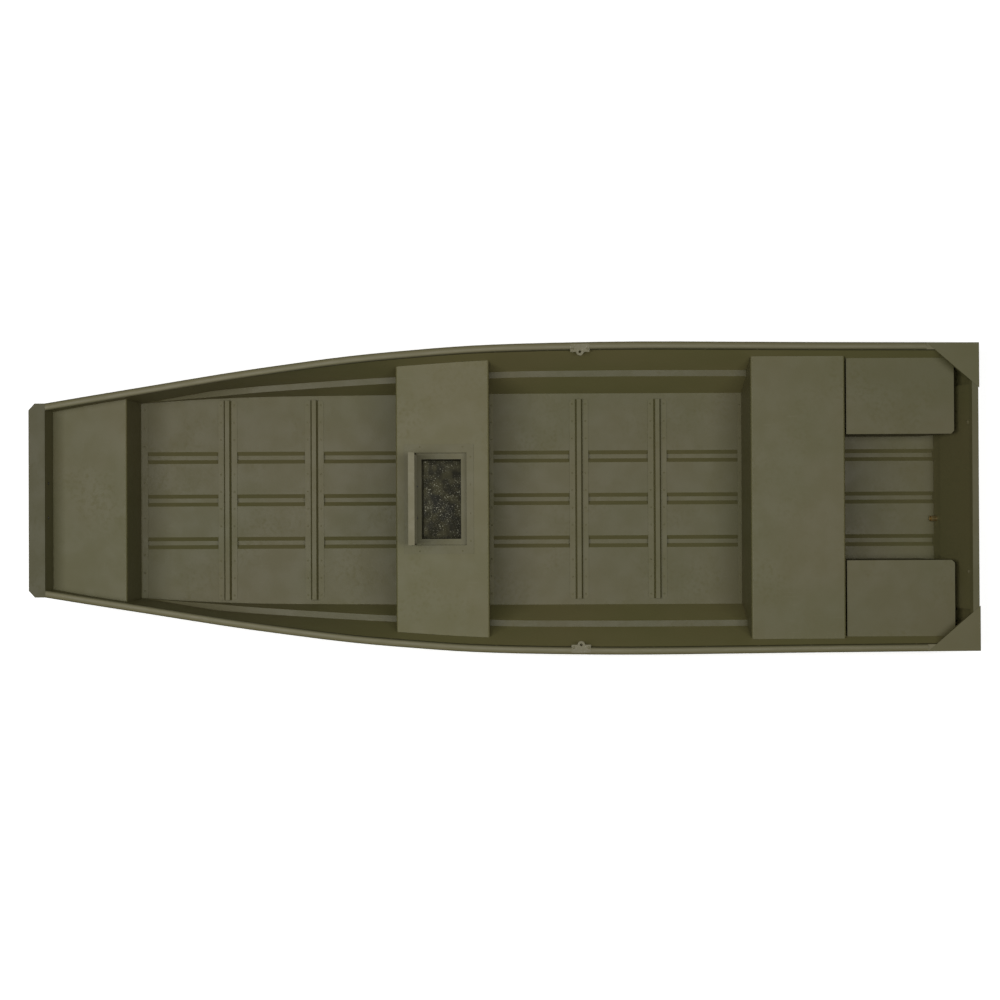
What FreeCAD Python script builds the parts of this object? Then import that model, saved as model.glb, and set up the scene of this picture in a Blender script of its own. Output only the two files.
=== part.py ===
import FreeCAD, Part
import math
import os
import re
import Sketcher

# Riveted sheet-aluminium jon boat, about 15 ft long, with a livewell in its middle bench.
# Millimetres. Y runs aft from the bow, X to port, Z up; the origin is under the middle of
# the boat, on the ground that its three pressed strakes stand on.
# A height is measured above the inside floor. An inset is the half width that the hull
# gives up there against its widest section. A station is a distance aft of the bow's edge.

SIZES = {
    "hull_length": (4557, "bow cap's front edge to the corner gussets' aft edge"),
    "half_beam": (753.6, "widest half beam, over the gunwale"),
    "bottom_half_width": (533, "inside floor at its widest"),
    "hull_sheet": (2, "bottom and side sheet"),
    "seam_gap": (0.4, "sealant between two riveted sheets"),
    "side_height": (450, "gunwale amidships"),
    "side_rise_bow": (80, "gunwale at the bow, over the height amidships"),
    "side_drop_stern": (30, "gunwale at the stern, under the height amidships"),
    "level_stern": (320, "length of level gunwale at the stern"),
    "deck_station": (528, "where the bow deck ends, roughly"),
    "forward_station": (1098, "between the forward ribs"),
    "bench_station": (1678, "just ahead of the middle bench"),
    "middle_station": (2278, "midships"),
    "widest_station": (2928, "widest section"),
    "aft_setback": (829, "stern to the section by the rear bench"),
    "beam_inset_tip": (305, "gunwale's line carried on to the bow's edge"),
    "beam_inset_bow": (291.6, "gunwale at the bow cap"),
    "beam_inset_deck": (217.6, "gunwale at the deck station"),
    "beam_inset_forward": (125.6, "gunwale at the forward station"),
    "beam_inset_bench": (52.1, "gunwale at the bench station"),
    "beam_inset_middle": (10.6, "gunwale at the middle station"),
    "beam_inset_aft": (5.6, "gunwale by the rear bench"),
    "beam_inset_stern": (9.6, "gunwale at the transom"),
    "floor_inset_tip": (116, "floor's line carried on to the bow's edge"),
    "floor_inset_bow": (106, "floor at the top of the raked bow"),
    "floor_inset_deck": (43, "floor at the bulkhead"),
    "floor_inset_forward": (10, "floor at the forward station"),
    "ledge_height": (200, "pressed side ledge, aft of midships"),
    "ledge_width": (30, "pressed side ledge"),
    "ledge_clear": (5, "ledge above the bottom sheet's flange, at the least"),
    "ledge_start": (480, "station where the ledge leaves the chine"),
    "ledge_level": (2300, "station where the ledge reaches its height"),
    "rocker_run": (1428, "bow edge to where the bottom starts to rise"),
    "forefoot_run": (470, "bow edge to where the bottom turns up to the rake"),
    "rocker_rise": (20, "rise of the bottom at the forefoot"),
    "rake_setback": (64, "bow edge to the top of the raked bow"),
    "rake_height": (360, "top of the raked bow"),
    "rake_slope": (1.05, "rise over run at the top of the raked bow"),
    "strake_spacing": (215, "centre strake to side strake"),
    "strake_mouth": (30, "half width of a strake at the floor"),
    "strake_flat": (10.5, "half width of a strake's bottom"),
    "strake_depth": (14, "strake below the bottom"),
    "strake_start": (170, "station where a strake comes out of the rake"),
    "strake_full": (560, "station where a strake reaches its depth"),
    "chine_flange": (25, "bottom sheet turned up outside the side sheet"),
    "gunwale_width": (34, "gunwale extrusion"),
    "gunwale_depth": (30, "gunwale extrusion"),
    "gunwale_wall": (3, "gunwale extrusion"),
    "gunwale_lip": (12, "gunwale's lip inside the side sheet"),
    "cap_depth": (78, "bow cap, front to back"),
    "cap_sheet": (3, "bow cap"),
    "cap_lip": (26, "bow cap's turned down edge"),
    "cap_bead": (5, "bow cap's rolled aft edge, above its top"),
    "cap_corner_x": (32, "bow cap's corner cut, across"),
    "cap_corner_y": (29, "bow cap's corner cut, along"),
    "bow_plate_setback": (28, "bow edge to the bow plate's top"),
    "bow_plate_sheet": (2.5, "bow plate"),
    "handle_height": (470, "bow handle above the floor"),
    "handle_half_width": (82.5, "bow handle, between its legs"),
    "handle_rod": (5, "bow handle's rod, radius"),
    "handle_reach": (29, "bow plate to the middle of the grip"),
    "handle_bend": (16, "bow handle's bends"),
    "handle_foot": (13, "bow handle's round feet, radius"),
    "handle_foot_sheet": (3, "bow handle's round feet"),
    "deck_height": (375, "bow deck"),
    "deck_length": (358, "bow cap's aft edge to the bulkhead"),
    "deck_foot": (33, "bulkhead's flange on the floor"),
    "bench_sheet": (2, "benches, deck and boxes"),
    "bench_height": (343, "bench tops"),
    "bench_foot": (20, "bench walls' flanges on the floor"),
    "bench_round": (10, "folded edges of deck and benches"),
    "middle_bench_front": (541, "forward of midships"),
    "middle_bench_length": (454, "front to back"),
    "rear_bench_setback": (633, "stern to the rear bench's back"),
    "rear_bench_length": (459, "front to back"),
    "rear_bench_foot": (8, "rear bench's aft flange on the floor"),
    "box_height": (320, "stern boxes"),
    "box_gap": (10, "rear bench to stern box"),
    "box_length": (526, "front to back, along the top"),
    "box_inner": (308, "middle of the boat to a stern box"),
    "box_corner": (14, "stern box's cut aft corner"),
    "rib_half_length": (503, "floor rib"),
    "rib_crown": (21, "floor rib's hat, across its top"),
    "rib_base": (38, "floor rib's hat, across its foot"),
    "rib_foot": (95, "floor rib over its flanges"),
    "rib_corner": (16, "floor rib's cut flange corners"),
    "rib_height": (24, "floor rib"),
    "rib_sheet": (2.5, "floor rib"),
    "rib_1_setback": (433, "bow bulkhead to the first rib"),
    "rib_2_setback": (870, "bow bulkhead to the second rib"),
    "rib_3_ahead": (822, "rear bench's front to the third rib"),
    "rib_4_ahead": (426, "rear bench's front to the fourth rib"),
    "transom_rake": (15, "degrees from upright"),
    "transom_sheet": (2, "transom skin"),
    "transom_margin": (1.5, "transom and bow plate past the side sheets"),
    "board_thickness": (22, "plywood board inside the transom"),
    "board_half_width": (545, "plywood board"),
    "board_foot": (110, "plywood board's lower edge"),
    "board_drop": (6, "top of the transom cap to the board's upper edge"),
    "transom_cap_width": (31, "transom cap, front to back"),
    "transom_cap_sheet": (2.5, "transom cap"),
    "transom_cap_lip": (26, "transom cap's turned down edges"),
    "transom_cap_end": (14, "gunwale's inner edge to the transom cap's end"),
    "transom_cap_setback": (4, "gussets' aft edge to the transom cap's"),
    "gusset_along": (252, "corner gusset along the gunwale"),
    "gusset_across": (218, "corner gusset along the transom"),
    "gusset_sheet": (2.5, "corner gusset"),
    "gusset_lip": (20, "corner gusset's turned down edge"),
    "gusset_lip_gap": (8, "transom cap to that turned down edge"),
    "drain_offset": (107, "drain tube, to port between two strakes"),
    "drain_height": (20, "drain tube"),
    "drain_radius": (12.5, "drain tube's hole"),
    "drain_wall": (1.5, "drain tube"),
    "drain_flange": (18, "drain tube's flange, radius"),
    "drain_length": (34, "drain tube"),
    "well_setback": (73, "middle bench's front to the livewell recess"),
    "well_recess_length": (271, "livewell recess"),
    "well_recess_half": (225, "livewell recess, half width"),
    "well_recess_depth": (40, "livewell recess"),
    "well_front_ledge": (50, "recess's front to the well"),
    "well_length": (193, "well's mouth"),
    "well_half": (194.5, "well's mouth, half width"),
    "well_depth": (300, "well, from the bench top to its foot"),
    "well_wall": (2.5, "livewell moulding"),
    "well_flange_side": (42, "livewell's flange on the bench"),
    "well_flange_front": (34, "livewell's flange on the bench"),
    "well_flange_back": (34, "livewell's flange on the bench"),
    "well_seat": (0.1, "sealant under the livewell's flange and hinge"),
    "lid_sheet": (2.5, "livewell lid"),
    "lid_depth": (30, "livewell lid's rim"),
    "lid_gap": (5.5, "closed lid to the recess's walls"),
    "lid_open": (90, "degrees from closed to the stop"),
    "hinge_setback": (7, "recess's front to the hinge pin"),
    "hinge_drop": (8, "closed lid's top to the hinge pin"),
    "hinge_radius": (4.5, "hinge knuckle"),
    "pin_radius": (2, "hinge pin"),
    "pin_clearance": (0.1, "hinge pin in the lid's knuckles"),
    "hinge_leaf": (1.6, "hinge leaf"),
    "hinge_leaf_width": (22, "hinge leaf"),
    "hinge_half_length": (205, "hinge"),
    "hinge_knuckles": (9, "knuckles along the hinge, every second one on the lid"),
    "hinge_slack": (0.8, "between two knuckles"),
    "hinge_lid_gap": (10, "hinge pin to the closed lid's front rim"),
    "oarlock_back": (352, "oarlock aft of midships"),
    "oarlock_bore": (6.5, "oarlock's hole, radius"),
    "oarlock_ear": (17.5, "oarlock's round ear, radius"),
    "oarlock_reach": (47, "gunwale's outer edge to the oarlock's hole"),
    "oarlock_sheet": (5, "oarlock's pad on the gunwale"),
    "oarlock_drop": (11, "oarlock's ear below the gunwale's top"),
    "oarlock_pad": (92, "oarlock's pad along the gunwale"),
    "oarlock_pad_edge": (9, "gunwale's outer edge to the oarlock's pad"),
    "oarlock_clear": (39, "gunwale's outer edge to the ear's flat back"),
}

# Heights and places that follow from the sizes. A blank is trimmed to the hull afterwards.
DERIVED = {
    "bow_edge": "(-hull_length / 2)",
    "stern_edge": "(hull_length / 2)",
    "floor_level": "(strake_depth + hull_sheet)",
    "floor_seat": "(floor_level + seam_gap)",
    "bow_top": "(floor_level + side_height + side_rise_bow)",
    "bow_half": "(half_beam - beam_inset_bow)",
    "cap_back": "(bow_edge + cap_depth)",
    "rake_top": "(bow_edge + rake_setback)",
    "rake_top_level": "(floor_level + rake_height)",
    "plate_lean": "((rake_setback - bow_plate_setback) / (bow_top - rake_top_level))",
    "deck_top": "(floor_level + deck_height)",
    "rib_slope": "((rib_base - rib_crown) / 2 / (rib_height - rib_sheet))",
    "rib_wall": "(rib_sheet * (sqrt(1 + rib_slope * rib_slope) - rib_slope))",
    "bulkhead": "(cap_back + deck_length)",
    "bench_top": "(floor_level + bench_height)",
    "middle_front": "(-middle_bench_front)",
    "middle_back": "(middle_bench_length - middle_bench_front)",
    "rear_back": "(stern_edge - rear_bench_setback)",
    "rear_front": "(rear_back - rear_bench_length)",
    "box_front": "(rear_back + box_gap)",
    "box_back": "(box_front + box_length)",
    "box_top": "(floor_level + box_height)",
    "stern_top": "(floor_level + side_height - side_drop_stern)",
    "stern_half": "(half_beam - beam_inset_stern)",
    "cap_aft": "(stern_edge - transom_cap_setback)",
    "cap_fore": "(cap_aft - transom_cap_width)",
    "skin_aft": "(cap_aft - transom_cap_sheet - seam_gap)",
    "gusset_edge": "sqrt(gusset_along * gusset_along + gusset_across * gusset_across)",
    "recess_front": "(middle_front + well_setback)",
    "recess_back": "(recess_front + well_recess_length)",
    "well_front": "(recess_front + well_front_ledge)",
    "well_top": "(bench_top + well_wall)",
    "hinge_y": "(recess_front + hinge_setback)",
    "hinge_z": "(well_top - hinge_drop)",
    "lid_front": "hinge_lid_gap",
    "lid_back": "(recess_back - lid_gap - hinge_y)",
    "lid_half": "(well_recess_half - lid_gap)",
    "blank_width": "(4 * half_beam)",
    "blank_below": "(side_height / 4)",
}

doc = FreeCAD.newDocument("JonBoat")
sheet = doc.addObject("Spreadsheet::Sheet", "Sizes")
for row, (alias, (number, note)) in enumerate(SIZES.items(), start=1):
    sheet.set(f"A{row}", alias)
    sheet.set(f"B{row}", str(number))
    sheet.set(f"C{row}", note)
    sheet.setAlias(f"B{row}", alias)
doc.recompute()


def formula(text):
    """A sum of size names, such as "bench_height + 2", in terms of the sheet's cells."""
    def cell(match):
        word = match.group()
        if word in DERIVED:
            return formula(DERIVED[word])
        return "Sizes." + word if word in SIZES else word
    return re.sub(r"[a-z][a-z_0-9]*", cell, text)


def size(text):
    return float(sheet.evalExpression(formula(text)))


# ---------------------------------------------------------------- makers

ALONG_X = FreeCAD.Rotation(FreeCAD.Vector(0, 1, 0), 90)
ALONG_Y = FreeCAD.Rotation(FreeCAD.Vector(1, 0, 0), -90)
STERN_LEAN = FreeCAD.Rotation(FreeCAD.Vector(1, 0, 0), -size("transom_rake"))
BOW_LEAN = FreeCAD.Rotation(FreeCAD.Vector(1, 0, 0), math.degrees(math.atan(size("plate_lean"))))

nodes = {}


def keep(piece, label):
    """Hand a finished sub-part in under its own label."""
    piece.Label = label
    nodes[label] = piece
    return piece


def place(piece, x="0", y="0", z="0", turn=None):
    """Tie a piece's place to the sheet, after any turn."""
    if turn:
        piece.Placement = FreeCAD.Placement(FreeCAD.Vector(), turn)
    for axis, text in zip("xyz", (x, y, z)):
        piece.setExpression("Placement.Base." + axis, formula(text))
    return piece


def body(label):
    piece = doc.addObject("PartDesign::Body", label)
    piece.Label = label
    return piece


def sketch(owner, plane, corners, label="outline"):
    """A closed outline of straight lines whose corners are tied to the sheet."""
    made = owner.newObject("Sketcher::SketchObject", f"{owner.Name}_{label}")
    origin_plane = next(item for item in owner.Origin.OriginFeatures if item.Role == plane)
    made.AttachmentSupport = [(origin_plane, "")]
    made.MapMode = "FlatFace"
    spots = [FreeCAD.Vector(size(across), size(up), 0) for across, up in corners]
    for start, end in zip(spots, spots[1:] + spots[:1]):
        made.addGeometry(Part.LineSegment(start, end))
    for i in range(len(spots)):
        made.addConstraint(Sketcher.Constraint("Coincident", i, 2, (i + 1) % len(spots), 1))
    for i, (spot, (across, up)) in enumerate(zip(spots, corners)):
        for kind, number, text in (("DistanceX", spot.x, across), ("DistanceY", spot.y, up)):
            index = made.addConstraint(Sketcher.Constraint(kind, -1, 1, i, 1, number))
            made.setExpression(f"Constraints[{index}]", formula(text))
    return made


def extrude(kind, owner, outline, length, side="One side", reverse=False, label="sheet"):
    """A pad, or a pocket, of a sketch."""
    made = owner.newObject("PartDesign::" + kind, f"{owner.Name}_{label}")
    made.Profile = outline
    made.SideType = side
    made.Reversed = reverse
    made.setExpression("Length", formula(length))
    return made


def round_edges(owner, radius, chosen, label):
    """Round the chosen edges of what the body has so far."""
    doc.recompute()
    base = owner.Tip
    edges = [f"Edge{i}" for i, edge in enumerate(base.Shape.Edges, start=1) if chosen(edge)]
    made = owner.newObject("PartDesign::Fillet", f"{owner.Name}_{label}")
    made.Base = (base, edges)
    made.setExpression("Radius", formula(radius))
    return made


def fold(owner, top, thickness, radius, plain_end="hull_length"):
    """Folded edges across the boat: round inside the sheet first, then outside."""
    def across_at(level):
        def chosen(edge):
            box = edge.BoundBox
            level_edge = abs(box.ZMin - level) < 0.01 and box.ZLength < 0.01
            return box.XLength > 100 and level_edge and abs(box.YMin - size(plain_end)) > 1
        return chosen
    round_edges(owner, f"{radius} - {thickness}", across_at(size(f"{top} - {thickness}")), "inside")
    round_edges(owner, radius, across_at(size(top)), "outside")


def block(label, length, width, height, x="0", y="0", z="0", turn=None):
    made = doc.addObject("Part::Box", label)
    for side, text in (("Length", length), ("Width", width), ("Height", height)):
        made.setExpression(side, formula(text))
    return place(made, x, y, z, turn)


def rod(label, radius, length, x="0", y="0", z="0", turn=None):
    made = doc.addObject("Part::Cylinder", label)
    made.setExpression("Radius", formula(radius))
    made.setExpression("Height", formula(length))
    return place(made, x, y, z, turn)


def pair(kind, label, base, tool):
    """A cut of one solid by another, or what two solids have in common."""
    made = doc.addObject("Part::" + kind, label)
    made.Base = base
    made.Tool = tool
    return made


def fuse(label, pieces):
    made = doc.addObject("Part::MultiFuse", label)
    made.Shapes = pieces
    made.Refine = True
    return made


def other_side(source, label):
    """The same piece on the starboard side."""
    made = doc.addObject("Part::Mirroring", label)
    made.Source = source
    made.Normal = FreeCAD.Vector(1, 0, 0)
    return keep(made, label)


def feature(label, shape):
    made = doc.addObject("Part::Feature", label)
    made.Shape = shape
    return made


# ---------------------------------------------------------------- hull's lines

BOW = size("bow_edge")
STERN = size("stern_edge")
SHEET = size("hull_sheet")
GAP = size("seam_gap")
# The ledge is at its full width by this share of its rise.
LEDGE_WIDENS = 0.45
LEAST_LEDGE = 1
# What a strake's slanting wall adds to its half width outside.
STRAKE_WALL = 0.7
# Trimming solids run past the hull's ends by this much.
OVERRUN = 40


def smooth(marks, y):
    """A gentle curve through (y, value) marks, level outside them."""
    ys = [mark[0] for mark in marks]
    values = [mark[1] for mark in marks]
    if y <= ys[0]:
        return values[0]
    if y >= ys[-1]:
        return values[-1]
    spans = len(ys) - 1
    slopes = [(values[i + 1] - values[i]) / (ys[i + 1] - ys[i]) for i in range(spans)]

    def tangent(i):
        before, after = slopes[max(i - 1, 0)], slopes[min(i, spans - 1)]
        if before * after <= 0:
            return 0.0
        return 2 * before * after / (before + after)

    i = max(k for k in range(spans) if ys[k] <= y)
    width = ys[i + 1] - ys[i]
    u = (y - ys[i]) / width
    ease = u * u * (3 - 2 * u)
    return (values[i] * (1 - ease) + values[i + 1] * ease
            + width * u * (1 - u) * ((1 - u) * tangent(i) - u * tangent(i + 1)))


def station(name):
    return BOW + size(name)


BEAM_INSETS = [(BOW, size("beam_inset_tip")),
               (size("cap_back"), size("beam_inset_bow")),
               (station("deck_station"), size("beam_inset_deck")),
               (station("forward_station"), size("beam_inset_forward")),
               (station("bench_station"), size("beam_inset_bench")),
               (station("middle_station"), size("beam_inset_middle")),
               (station("widest_station"), 0),
               (STERN - size("aft_setback"), size("beam_inset_aft")),
               (STERN, size("beam_inset_stern"))]
FLOOR_INSETS = [(BOW, size("floor_inset_tip")),
                (size("rake_top"), size("floor_inset_bow")),
                (size("bulkhead"), size("floor_inset_deck")),
                (station("forward_station"), size("floor_inset_forward")),
                (station("middle_station"), 0)]
SHEER = [(BOW, size("side_rise_bow")), (size("cap_back"), size("side_rise_bow")), (0, 0),
         (STERN - size("level_stern"), -size("side_drop_stern"))]
# How far up the side the ledge runs, as a share of its full height.
LEDGE = [(station("ledge_start"), 0), (station("forward_station"), 0.7),
         (station("ledge_level"), 1)]
STRAKE = [(station("strake_start"), 0), (station("strake_full"), size("strake_depth"))]


def half_beam(y):
    return size("half_beam") - smooth(BEAM_INSETS, y)


def floor_half(y):
    return size("bottom_half_width") - smooth(FLOOR_INSETS, y)


def gunwale_top(y):
    return size("floor_level + side_height") + smooth(SHEER, y)


def bottom(y):
    """Outside of the bottom sheet between the strakes: flat, then rocker, then the rake."""
    level = size("strake_depth")
    start, foot, top = station("rocker_run"), station("forefoot_run"), size("rake_top")
    rise = size("rocker_rise")
    if y >= start:
        return level
    if y >= foot:
        return level + rise * ((start - y) / (start - foot)) ** 2
    rake_top = size("rake_top_level") - SHEET
    slope = size("rake_slope")
    if y <= top:
        return rake_top + slope * (top - y)
    run = foot - top
    u = (foot - y) / run
    ease = u * u * (3 - 2 * u)
    foot_slope = 2 * rise / (start - foot)
    return ((level + rise) * (1 - ease) + rake_top * ease
            + run * u * (1 - u) * ((1 - u) * foot_slope - u * slope))


def bottom_slope(y):
    return bottom(y + 0.5) - bottom(y - 0.5)


def floor(y):
    """Inside of the bottom sheet."""
    return bottom(y) + SHEET * math.hypot(1, bottom_slope(y))


def side_inside(y):
    """Inner face of the port side sheet, from the chine up, as (x, z), and its flare."""
    foot_x, foot_z = floor_half(y), floor(y) + GAP
    head_x = half_beam(y) - size("gunwale_width - gunwale_wall - seam_gap")
    head_z = gunwale_top(y) - size("gunwale_wall + seam_gap")
    share = smooth(LEDGE, y)
    least = size("chine_flange + ledge_clear")
    full = size("ledge_height / side_height") * (head_z - foot_z)
    widening = size("ledge_width") - LEAST_LEDGE
    width = LEAST_LEDGE + widening * min(1, share / LEDGE_WIDENS)
    ledge_z = foot_z + least + share * max(0, full - least)
    flare = (head_x - foot_x - width) / (head_z - foot_z - SHEET)
    ledge_x = foot_x + flare * (ledge_z - foot_z)
    face = [(foot_x, foot_z), (ledge_x, ledge_z), (ledge_x + width, ledge_z + SHEET),
            (head_x, head_z)]
    return face, flare


def side_outside(y):
    (foot, ledge, step, head), flare = side_inside(y)
    across = SHEET * math.hypot(1, flare)
    drop = across - flare * SHEET
    return [(foot[0] + across, foot[1]), (ledge[0] + drop, ledge[1] - SHEET),
            (step[0] + drop, step[1] - SHEET), (head[0] + across, head[1])]


def strake_corners(y, level, grow):
    """Corners of the three strakes from starboard to port, on one face of the bottom."""
    depth = smooth(STRAKE, y)
    mouth = size("strake_mouth") + grow
    flat = size("strake_flat") + grow
    corners = []
    for middle in (-size("strake_spacing"), 0, size("strake_spacing")):
        corners += [(middle - mouth, level), (middle - flat, level - depth),
                    (middle + flat, level - depth), (middle + mouth, level)]
    return corners


def mirrored(points):
    return [(-x, z) for x, z in reversed(points)]


def bottom_section(y):
    """Bottom sheet with its strakes, turned up outside the side sheets."""
    flare = side_inside(y)[1]
    across = SHEET * math.hypot(1, flare)
    inside, outside = floor(y), bottom(y)
    top = inside + size("chine_flange")

    def chine(z, layers):
        return floor_half(y) + flare * (z - inside - GAP) + across * layers + GAP

    edge = [(chine(outside, 2), outside), (chine(top, 2), top), (chine(top, 1), top),
            (chine(inside, 1), inside)]
    under = strake_corners(y, outside, STRAKE_WALL)
    return under + edge + strake_corners(y, inside, 0)[::-1] + mirrored(edge)


def side_section(y):
    return side_inside(y)[0] + side_outside(y)[::-1]


def gunwale_section(y):
    """Hollow extrusion that hooks over the side sheet."""
    flare = side_inside(y)[1]
    outer, top = half_beam(y), gunwale_top(y)
    wall, lip = size("gunwale_wall"), size("gunwale_lip")
    inner = outer - size("gunwale_width")
    low = top - size("gunwale_depth")
    under = top - wall
    head_x, head_z = side_outside(y)[-1]

    def side_face(z):
        return head_x - flare * (head_z - z) + GAP

    return [(inner, top), (outer, top), (outer, low), (side_face(low), low),
            (side_face(low + wall), low + wall), (outer - wall, low + wall),
            (outer - wall, under), (inner + wall, under),
            (inner + wall - flare * lip, under - lip), (inner - flare * lip, under - lip)]


def interior_section(y):
    """Room inside the hull's sheets, less the sealant."""
    foot, ledge, step, head = side_inside(y)[0]
    half = [(foot[0] - GAP, foot[1]), (ledge[0] - GAP, ledge[1]),
            (step[0] - GAP, step[1] + GAP), (head[0] - GAP, head[1])]
    return half + mirrored(half)


def outline_section(y):
    """All that the hull's sheets take up, and a margin beside them."""
    margin = size("transom_margin")
    foot, ledge, step, head = side_outside(y)
    lap = SHEET + GAP + margin
    half = [(foot[0] + lap, bottom(y)), (foot[0] + lap, foot[1] + size("chine_flange")),
            (ledge[0] + margin, ledge[1] - margin), (step[0] + margin, step[1] - margin),
            (head[0] + margin, head[1])]
    return strake_corners(y, bottom(y), STRAKE_WALL) + half + mirrored(half)


FINE_STEP = 60
FINE_END = 1560
COARSE_STEP = 250
LEAN_ROUNDS = 25


def stations(first, last):
    """Where sections are taken: closer together ahead of the middle bench."""
    marks = [BOW + FINE_STEP * (i + 1) for i in range(FINE_END // FINE_STEP)]
    count = max(3, round((STERN - marks[-1]) / COARSE_STEP))
    step = (STERN - marks[-1]) / count
    marks += [marks[-1] + step * (i + 1) for i in range(count)]
    inner = [mark for mark in marks if first + FINE_STEP / 2 < mark < last - FINE_STEP]
    return [first] + inner + [last]


def lofted(marks, section, fore=None, aft=None):
    """A solid whose section's corners run along the boat as smooth curves.

    fore and aft give the place of a leaning end at a height.
    """
    rows = [[FreeCAD.Vector(x, y, z) for x, z in section(y)] for y in marks]
    for row, lean in ((0, fore), (-1, aft)):
        for corner, spot in enumerate(rows[row]):
            for again in range(LEAN_ROUNDS if lean else 0):
                x, z = section(lean(spot.z))[corner]
                spot = FreeCAD.Vector(x, lean(z), z)
            rows[row][corner] = spot
    edges = []
    for points in zip(*rows):
        curve = Part.BSplineCurve()
        curve.interpolate(Points=points, Parameters=[point.y for point in points])
        edges.append(curve.toShape())
    faces = [Part.makeRuledSurface(a, b) for a, b in zip(edges, edges[1:] + edges[:1])]
    faces += [Part.Face(Part.makePolygon(row + row[:1])) for row in (rows[0], rows[-1])]
    skin = Part.Compound(faces)
    skin.sewShape()
    solid = Part.Solid(skin.Shells[0])
    if solid.Volume < 0:
        solid.reverse()
    return solid


def transom_front(z):
    """Where the side and bottom sheets end, just ahead of the transom skin."""
    lean = math.tan(math.radians(size("transom_rake")))
    skin = size("transom_sheet") / math.cos(math.radians(size("transom_rake")))
    return size("skin_aft") - (size("stern_top") - z) * lean - skin - GAP


def bow_plate_back(z):
    """Where the side sheets end, just behind the bow plate."""
    return size("rake_top") - (z - size("rake_top_level")) * size("plate_lean") + GAP


# ---------------------------------------------------------------- hull sheets

def hull_sheets():
    stern_mark = transom_front(size("floor_level"))
    bottom_sheet = lofted(stations(size("rake_top"), stern_mark), bottom_section,
                          aft=transom_front)
    keep(feature("hull_bottom", bottom_sheet), "hull_bottom")
    side = lofted(stations(size("rake_top"), stern_mark), side_section,
                  fore=bow_plate_back, aft=transom_front)
    rail = lofted(stations(size("cap_back + seam_gap"), stern_mark), gunwale_section,
                  aft=transom_front)
    for name, shape in (("side_panel", side), ("gunwale", rail)):
        piece = keep(feature(name + "_port", shape), name + "_port")
        other_side(piece, name + "_starboard")


hull_sheets()
room_start = size("bow_edge + bow_plate_setback")
room_marks = stations(room_start, STERN + OVERRUN)
interior = feature("interior", lofted(room_marks, interior_section))
stern_marks = [STERN - 2 * COARSE_STEP, STERN - COARSE_STEP, STERN + OVERRUN]
stern_outline = feature("stern_outline", lofted(stern_marks, outline_section))
bow_marks = [BOW + OVERRUN * i for i in range(4)]
bow_outline = feature("bow_outline", lofted(bow_marks, outline_section))


# ---------------------------------------------------------------- bow

def bow_plate():
    """Steep plate that closes the bow between the rake and the cap."""
    slab = block("bow_plate_slab", "blank_width", "bow_plate_sheet",
                 "bow_top - rake_top_level", "-blank_width / 2",
                 "rake_top - bow_plate_sheet * sqrt(1 + plate_lean * plate_lean)",
                 "rake_top_level + 2 * seam_gap", turn=BOW_LEAN)
    room = block("under_bow_cap", "blank_width", "2 * cap_depth",
                 "2 * side_height", "-blank_width / 2", "bow_edge",
                 "bow_top - cap_sheet - seam_gap - 2 * side_height")
    trimmed = pair("Common", "bow_plate_trimmed", slab, room)
    keep(pair("Common", "bow_plate", trimmed, bow_outline), "bow_plate")


def bow_inner_plate():
    """Upright plate from the cap's aft edge down behind the deck's front."""
    owner = body("bow_inner_blank")
    corners = [("-bow_half", "deck_top - bench_foot"), ("bow_half", "deck_top - bench_foot"),
               ("bow_half", "bow_top - cap_sheet - seam_gap"),
               ("-bow_half", "bow_top - cap_sheet - seam_gap")]
    extrude("Pad", owner, sketch(owner, "XZ_Plane", corners), "cap_sheet")
    place(owner, y="cap_back")
    keep(pair("Common", "bow_inner_plate", owner, interior), "bow_inner_plate")


def cap_outline(inset):
    """Bow cap seen from above; an inset outline leaves its turned down edges."""
    side = f"(bow_half - {inset})"
    front = f"(bow_edge + {inset})"
    cut = f"(bow_half - cap_corner_x - {inset} / 2)"
    back = "cap_back" if inset == "0" else "(cap_back + cap_sheet)"
    return [(f"-{side}", back), (f"-{side}", f"bow_edge + cap_corner_y + {inset} / 2"),
            (f"-{cut}", front), (cut, front), (side, f"bow_edge + cap_corner_y + {inset} / 2"),
            (side, back)]


def bow_cap():
    owner = body("bow_cap")
    extrude("Pad", owner, sketch(owner, "XY_Plane", cap_outline("0")), "cap_lip")
    hollow = sketch(owner, "XY_Plane", cap_outline("cap_sheet"), "hollow_outline")
    extrude("Pocket", owner, hollow, "cap_lip - cap_sheet", reverse=True, label="hollow")
    front, low, high = "cap_back - cap_bead", "cap_lip - cap_sheet / 2", "cap_lip + cap_bead / 2"
    bead = [(front, low), ("cap_back", low), ("cap_back", high), (front, high)]
    extrude("Pad", owner, sketch(owner, "YZ_Plane", bead, "bead_outline"),
            "2 * (bow_half - gunwale_width)", side="Symmetric", label="bead")
    place(owner, z="bow_top - cap_lip")
    keep(owner, "bow_cap")


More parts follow.
